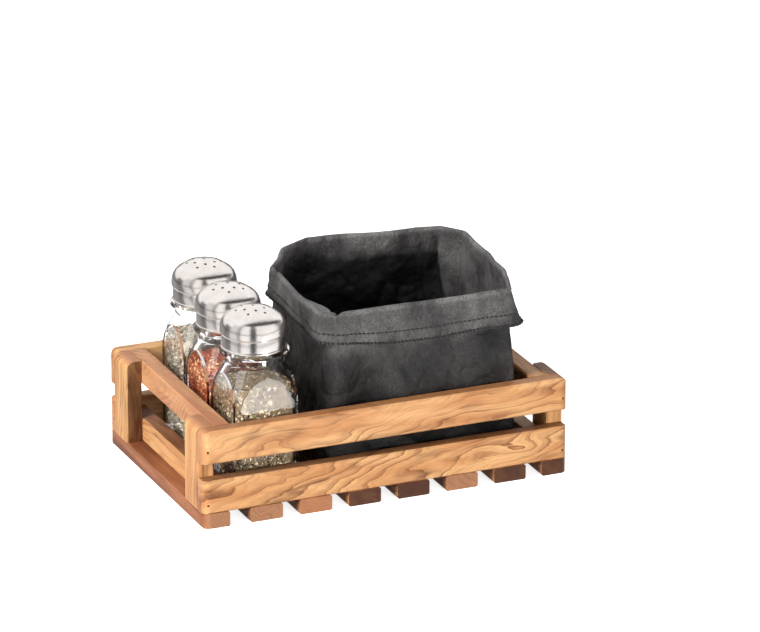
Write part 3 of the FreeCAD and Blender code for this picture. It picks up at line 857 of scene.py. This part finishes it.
def bag_material():
    material, s, surface = new_material("washable_paper", {"Specular IOR Level": 0.35})
    at = s.object_coordinates()
    cloud = s.noise(at, 38.0, 5.0, 0.6)["Fac"]
    grain = s.noise(at, 900.0, 3.0, 0.65)["Fac"]
    fine = s.noise(at, 2600.0, 2.0)["Fac"]
    base = s.ramp(cloud, [(0.32, srgb(48, 46, 46)), (0.7, srgb(94, 92, 91))])
    places = s.split(at)
    # painted shade: darker below the cuff, where the paper lies in shade
    level = s.math("MULTIPLY", places[2], 1 / MM)
    level = s.math("MULTIPLY_ADD", s.math("SUBTRACT", cloud, 0.5), SHADE_WANDER, level)
    shade = s.math("DIVIDE", level, BAG_RIM_Z)
    shade = s.ramp(shade, [(0.36, 0.16), (0.74, 0.4), (0.86, 1.0)])
    base = s.mix(1.0, base, shade, "MULTIPLY")
    # painted highlight: the fold at the rim is painted pale, as where its edge catches the light
    height_to_rim = s.math("DIVIDE", places[2], BAG_RIM_Z * MM)
    base = s.mix(1.0, base, s.ramp(height_to_rim, [(0.975, 1.0), (0.99, 1.7)]), "MULTIPLY")
    # painted shade: the wall beside the shakers is darker still below the cuff, where it lies in
    # shade
    leftward = s.math("MULTIPLY", places[0], -1 / MM / LEFT_SPAN)
    leftward = s.ramp(leftward, [(0.5, 0.0), (0.62, 1.0)])
    below = s.ramp(height_to_rim, [(0.80, 1.0), (0.84, 0.0)])
    painted_left_shade = s.math("MULTIPLY", leftward, below)
    base = s.mix(painted_left_shade, base, s.mix(1.0, base, grey(0.3), "MULTIPLY"))
    # painted shade: the lining goes dark a little below the rim, lower on the wall the key light
    # meets
    away = s.vector("SUBTRACT", at, tuple(Vector(BAG_MIDDLE) * MM))
    normal = s.node("ShaderNodeTexCoord").outputs["Normal"]
    facing = s.node("ShaderNodeVectorMath", {0: away, 1: normal}, operation="DOT_PRODUCT")
    inside = s.math("MULTIPLY", facing.outputs["Value"], -1 / (INWARD_REACH * MM), clamp=True)
    rightward = s.math("MULTIPLY", places[0], 1 / MM)
    rightward = s.ramp(s.math("DIVIDE", rightward, RIGHT_SPAN), [(0.785, 0.0), (0.815, 1.0)])
    level = s.math("MULTIPLY_ADD", rightward, LINING_SHADE_DROP, level)
    painted_lining_shade = s.ramp(s.math("DIVIDE", level, 2 * BAG_RIM_Z), [(0.43, 0.16), (0.478, 1.0)])
    base = s.mix(inside, base, s.mix(1.0, base, painted_lining_shade, "MULTIPLY"))
    fleck = s.ramp(grain, [(0.4, 0.72), (0.64, 1.36)])
    s.feed(surface.inputs["Base Color"], s.mix(1.0, base, fleck, "MULTIPLY"))
    s.feed(surface.inputs["Roughness"], s.math("MULTIPLY_ADD", grain, 0.25, 0.42))
    # soft folds, with the tooth of the paper on them
    height = s.math("MULTIPLY_ADD", fine, 0.5, grain)
    folds = s.math("ABSOLUTE", s.math("SUBTRACT", s.noise(at, 24.0, 1.5)["Fac"], 0.5))
    finer = s.math("ABSOLUTE", s.math("SUBTRACT", s.noise(at, 70.0, 2.0)["Fac"], 0.5))
    folds = s.math("MULTIPLY_ADD", finer, 0.3, folds)
    creased = s.bump(folds, 1.0, 0.014)
    rough = s.node("ShaderNodeBump", {
        "Height": height, "Strength": 0.5, "Distance": 0.0004, "Normal": creased,
    })
    s.feed(surface.inputs["Normal"], rough.outputs[0])
    return material


def make_bag():
    material = bag_material()
    surface = bag_shapes(bag_sheet_points())
    count = AROUND_COUNT
    vertices = []
    for ring in surface:
        vertices += [Vector(p) * MM for p in ring]
    faces = []
    for row in range(len(surface) - 1):
        for i in range(count):
            a = row * count + i
            b = row * count + (i + 1) % count
            faces.append((a, b, b + count, a + count))
    # floor of the bag: rings shrinking to the middle
    first = surface[0]
    middle = Vector((sum(p[0] for p in first) / count, sum(p[1] for p in first) / count))
    previous = 0
    for scale in (0.85, 0.6, 0.3):
        start = len(vertices)
        for point in first:
            flat = middle.lerp(Vector(point[:2]), scale)
            bumpy = 0.4 * waviness(flat, 0.06, 1.0)
            vertices.append(Vector((flat.x, flat.y, BAG_FLOOR_Z + 0.1 + abs(bumpy))) * MM)
        for i in range(count):
            a, b = previous + i, previous + (i + 1) % count
            faces.append((b, a, start + i, start + (i + 1) % count))
        previous = start
    vertices.append(Vector((middle.x, middle.y, BAG_FLOOR_Z + 0.2)) * MM)
    for i in range(count):
        faces.append((previous + (i + 1) % count, previous + i, len(vertices) - 1))
    bag = mesh_object("bag_paper", vertices, faces, material)
    solid = bag.modifiers.new("thickness", "SOLIDIFY")
    solid.thickness = PAPER_THICKNESS * MM
    solid.offset = 0.0
    apply_modifiers(bag)
    bag.data.set_sharp_from_angle(angle=PAPER_CREASE)
    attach(bag, "bag")
    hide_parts("bag_body", "bag_cuff")
    make_stitches(surface)


STITCH_ROWS = (             # share of the cuff's height, pitch, gap, radius, slant
    (0.66, 3.0, 0.15, 0.55, 0.05), (0.955, 2.6, 0.1, 0.95, 0.35),
)
SPINDLE = (                 # share of a stitch's length, height off the paper, thickness
    (0.0, -0.1, 0.25), (0.2, 0.42, 0.85), (0.5, 0.55, 1.0), (0.8, 0.42, 0.85),
    (1.0, -0.1, 0.25),
)
THREAD_SIDES = 6


def make_stitches(surface):
    """Two rows of thread through the cuff: fine above, coarse along its hem."""
    material, s, shade = new_material("black_thread", {"Roughness": 0.75, "Sheen Weight": 0.1})
    at = s.object_coordinates()
    twist = s.noise(at, 2500.0, 2.0)["Fac"]
    s.feed(shade.inputs["Base Color"], s.ramp(twist, [(0.3, 0.006), (0.7, 0.02)]))
    rng = random.Random(17)
    vertices, faces = [], []
    for share, pitch, gap, radius, slant in STITCH_ROWS:
        row = CUFF_START + share * CUFF_ROWS
        low = int(row)
        line = []
        for a, b, c in zip(surface[low], surface[low + 1], surface[low - 3]):
            at = Vector(a).lerp(Vector(b), row - low)
            line.append((at, (Vector(b) - Vector(c)).normalized()))
        line.append(line[0])
        lengths = [0.0]
        for before, after in zip(line, line[1:]):
            lengths.append(lengths[-1] + (after[0] - before[0]).length)
        index = 0
        for stitch in range(round(lengths[-1] / pitch)):
            ends = []
            for travelled in (stitch * pitch, (stitch + 1) * pitch - gap):
                travelled = min(travelled, lengths[-1] - 0.01)
                while lengths[index + 1] < travelled:
                    index += 1
                part = (travelled - lengths[index]) / (lengths[index + 1] - lengths[index])
                ends.append(line[index][0].lerp(line[index + 1][0], part))
            first, end = ends
            down = line[index][1]
            out = (end - first).normalized().cross(down).normalized()
            if out.dot(Vector((first.x - BAG_MIDDLE[0], first.y, 0))) < 0:
                out = -out
            end += down * rng.uniform(slant * 0.5, slant)
            first -= down * rng.uniform(slant * 0.5, slant)
            thick = radius * rng.uniform(0.85, 1.15)
            add_stitch(vertices, faces, first, end, out, down, thick)
    thread = mesh_object("bag_stitches", vertices, faces, material)
    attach(thread, "bag")


def add_stitch(vertices, faces, first, end, out, down, radius):
    """One spindle of thread, its ends sunk in the paper."""
    base = len(vertices)
    for along, height, width in SPINDLE:
        centre = first.lerp(end, along) + out * height * radius * 1.4
        for k in range(THREAD_SIDES):
            angle = 2 * math.pi * k / THREAD_SIDES
            offset = out * math.cos(angle) + down * math.sin(angle)
            vertices.append((centre + offset * radius * width) * MM)
    for ring in range(len(SPINDLE) - 1):
        for k in range(THREAD_SIDES):
            a = base + ring * THREAD_SIDES + k
            b = base + ring * THREAD_SIDES + (k + 1) % THREAD_SIDES
            faces.append((a, b, b + THREAD_SIDES, a + THREAD_SIDES))
    faces.append(tuple(base + k for k in reversed(range(THREAD_SIDES))))
    last = base + (len(SPINDLE) - 1) * THREAD_SIDES
    faces.append(tuple(last + k for k in range(THREAD_SIDES)))


# ------------------------------------------------ surroundings
FLOOR_HALF = 6.0
FLOOR_GLOW = 0.78           # of the floor, as the camera sees it
FLOOR_SHEEN = 0.2           # of the floor, in reflections
AMBIENT = 0.13              # of the world, for diffuse light only
MIRRORED = 1.1              # of the world, in reflections
LIGHT_TARGET = Vector((0, 0, 0.06))
LAMPS = (                   # name, place and size in metres, power in watts
    ("key", (-1.65, -0.45, 0.95), (0.8, 0.8), 52.0),
    ("front", (0.25, -2.1, 0.36), (1.3, 0.4), 40.0),
    ("back", (0.2, 1.3, 1.5), (1.4, 0.8), 9.0),
)
SCREEN_CENTRE = Vector((-0.077, -0.05, 0))
SCREEN_FOOT = 0.003
SCREEN_INNER = 0.27
SCREEN_OUTER = 1.5
SCREEN_TOP = 2.45
SCREEN_STEP = 10            # degrees that one flat of a round panel covers
INNER_GAIN = 1.05           # of the ring on the floor
HORIZON_TOP = 0.14
HORIZON_SHADE = 0.35
SCREEN_PANELS = (           # from and to in degrees right of the camera, brightness, height
    (-180, -112, 0.34, 0.3), (-112, -84, 0.20, 0.7), (-84, -54, 0.78, 1.5),
    (-54, -42, 0.36, 2.2), (-42, -9, 1.15, SCREEN_TOP), (-9, 13, 0.06, SCREEN_TOP),
    (13, 98, 1.1, 1.25), (98, 125, 0.34, 0.8), (125, 180, 0.14, 0.3),
)
OVERHEAD_SHADE = 0.03
OVERHEAD_CORNERS = (        # degrees right of the camera and metres from the shakers
    (-52, 2.29), (-49, 0.98), (-27, 0.38), (81, 0.62), (111, 1.77), (128, 4.44), (135, 9.9),
    (122, 12.0), (103, 4.59), (81, 2.44), (36, 1.53), (-9, 1.56), (-31, 2.01),
)
VEIL_HEIGHT = 0.004
VEIL_CORNERS = ((-0.044, -0.226), (0.020, -0.226), (0.055, -0.308), (-0.009, -0.308))
VEIL_STRENGTH = 15.0


def seen_white(s):
    """Which rays are mirrored, and which see the white surroundings as the camera does."""
    path = s.node("ShaderNodeLightPath").outputs
    straight = s.math("LESS_THAN", path["Diffuse Depth"], 0.5)
    through = s.math("MULTIPLY", path["Is Transmission Ray"], straight)
    return path["Is Glossy Ray"], s.math("MAXIMUM", path["Is Camera Ray"], through)


def make_floor():
    corners = [(-FLOOR_HALF, -FLOOR_HALF, 0), (FLOOR_HALF, -FLOOR_HALF, 0),
               (FLOOR_HALF, FLOOR_HALF, 0), (-FLOOR_HALF, FLOOR_HALF, 0)]
    mesh = bpy.data.meshes.new("floor")
    mesh.from_pydata(corners, [], [(0, 1, 2, 3)])
    floor = bpy.data.objects.new("floor", mesh)
    bpy.context.scene.collection.objects.link(floor)
    material, s, surface = new_material("floor_white", {
        "Roughness": 0.9, "Specular IOR Level": 0.0, "Emission Color": grey(1.0),
    })
    glossy, seen = seen_white(s)
    colour = s.mix(glossy, (0.32, 0.31, 0.30), (0.55, 0.55, 0.55))
    # seen directly the floor is white paper; mirrored or as a bouncer it is duller
    s.feed(surface.inputs["Base Color"], s.mix(seen, colour, (0.95, 0.95, 0.95)))
    mirrored = s.math("MULTIPLY", glossy, FLOOR_SHEEN)
    glow = s.math("MULTIPLY_ADD", seen, FLOOR_GLOW, mirrored)
    s.feed(surface.inputs["Emission Strength"], glow)
    mesh.materials.append(material)


def make_world():
    """White all round to the eye and in reflections, dim as a source of light."""
    world = bpy.data.worlds.new("studio")
    world.use_nodes = True
    s = Shader(world.node_tree)
    background = world.node_tree.nodes["Background"]
    glossy, seen = seen_white(s)
    strength = s.math("MULTIPLY_ADD", seen, 1.0 - AMBIENT, AMBIENT)
    strength = s.math("MULTIPLY_ADD", glossy, MIRRORED - AMBIENT, strength)
    s.feed(background.inputs["Color"], (1, 1, 1, 1))
    s.feed(background.inputs["Strength"], strength)
    bpy.context.scene.world = world


def make_lights():
    for name, location, (width, height), power in LAMPS:
        data = bpy.data.lights.new(name, "AREA")
        data.shape = "RECTANGLE"
        data.size = width
        data.size_y = height
        data.energy = power
        light = bpy.data.objects.new(name, data)
        light.location = location
        aim = Vector(location) - LIGHT_TARGET
        light.rotation_euler = aim.to_track_quat("Z", "Y").to_euler()
        light.visible_glossy = False
        bpy.context.scene.collection.objects.link(light)


def make_panel(name, corners, faces, brightness):
    """A panel of the studio that is there only to be mirrored in the steel and the glass."""
    glow = new_material(name, {
        "Base Color": grey(0.0), "Specular IOR Level": 0.0, "Emission Color": grey(1.0),
        "Emission Strength": brightness,
    })[0]
    panel = mesh_object(name, corners, faces, glow, False)
    panel.visible_camera = False
    panel.visible_diffuse = False
    panel.visible_transmission = False
    panel.visible_shadow = False


def studio_point(bearing, distance, height):
    """A place round the shakers, its bearing in degrees to the right of the camera's."""
    angle = math.radians(bearing) - CAMERA_AZIMUTH
    return SCREEN_CENTRE + Vector((
        distance * math.sin(angle), -distance * math.cos(angle), height
    ))


def make_screen():
    """Light and dark panels all round, one dark overhead and one bright on the floor."""
    for index, (start, end, shade, top) in enumerate(SCREEN_PANELS):
        steps = max(1, round((end - start) / SCREEN_STEP))
        profile = (
            (SCREEN_INNER, SCREEN_FOOT, shade * INNER_GAIN),
            (SCREEN_OUTER, SCREEN_FOOT, shade * HORIZON_SHADE),
            (SCREEN_OUTER, HORIZON_TOP, shade), (SCREEN_OUTER, top, shade),
        )
        for band, (low, high) in enumerate(zip(profile, profile[1:])):
            vertices, faces = [], []
            for step in range(steps + 1):
                bearing = start + (end - start) * step / steps
                vertices.append(studio_point(bearing, low[0], low[1]))
                vertices.append(studio_point(bearing, high[0], high[1]))
            for step in range(steps):
                first = 2 * step
                faces.append((first, first + 2, first + 3, first + 1))
            make_panel("screen_%d_%d" % (index, band), vertices, faces, low[2])
    corners = [studio_point(bearing, away, SCREEN_TOP) for bearing, away in OVERHEAD_CORNERS]
    make_panel("screen_top", corners, [tuple(range(len(corners)))], OVERHEAD_SHADE)
    veil = [Vector((x, y, VEIL_HEIGHT)) for x, y in VEIL_CORNERS]
    make_panel("screen_veil", veil, [(0, 1, 2, 3)], VEIL_STRENGTH)


make_camera()
OLIVE = olive_group()
dress_crate()
make_shakers()
make_bag()
make_floor()
make_world()
make_lights()
make_screen()
bpy.context.scene.view_settings.view_transform = "Standard"
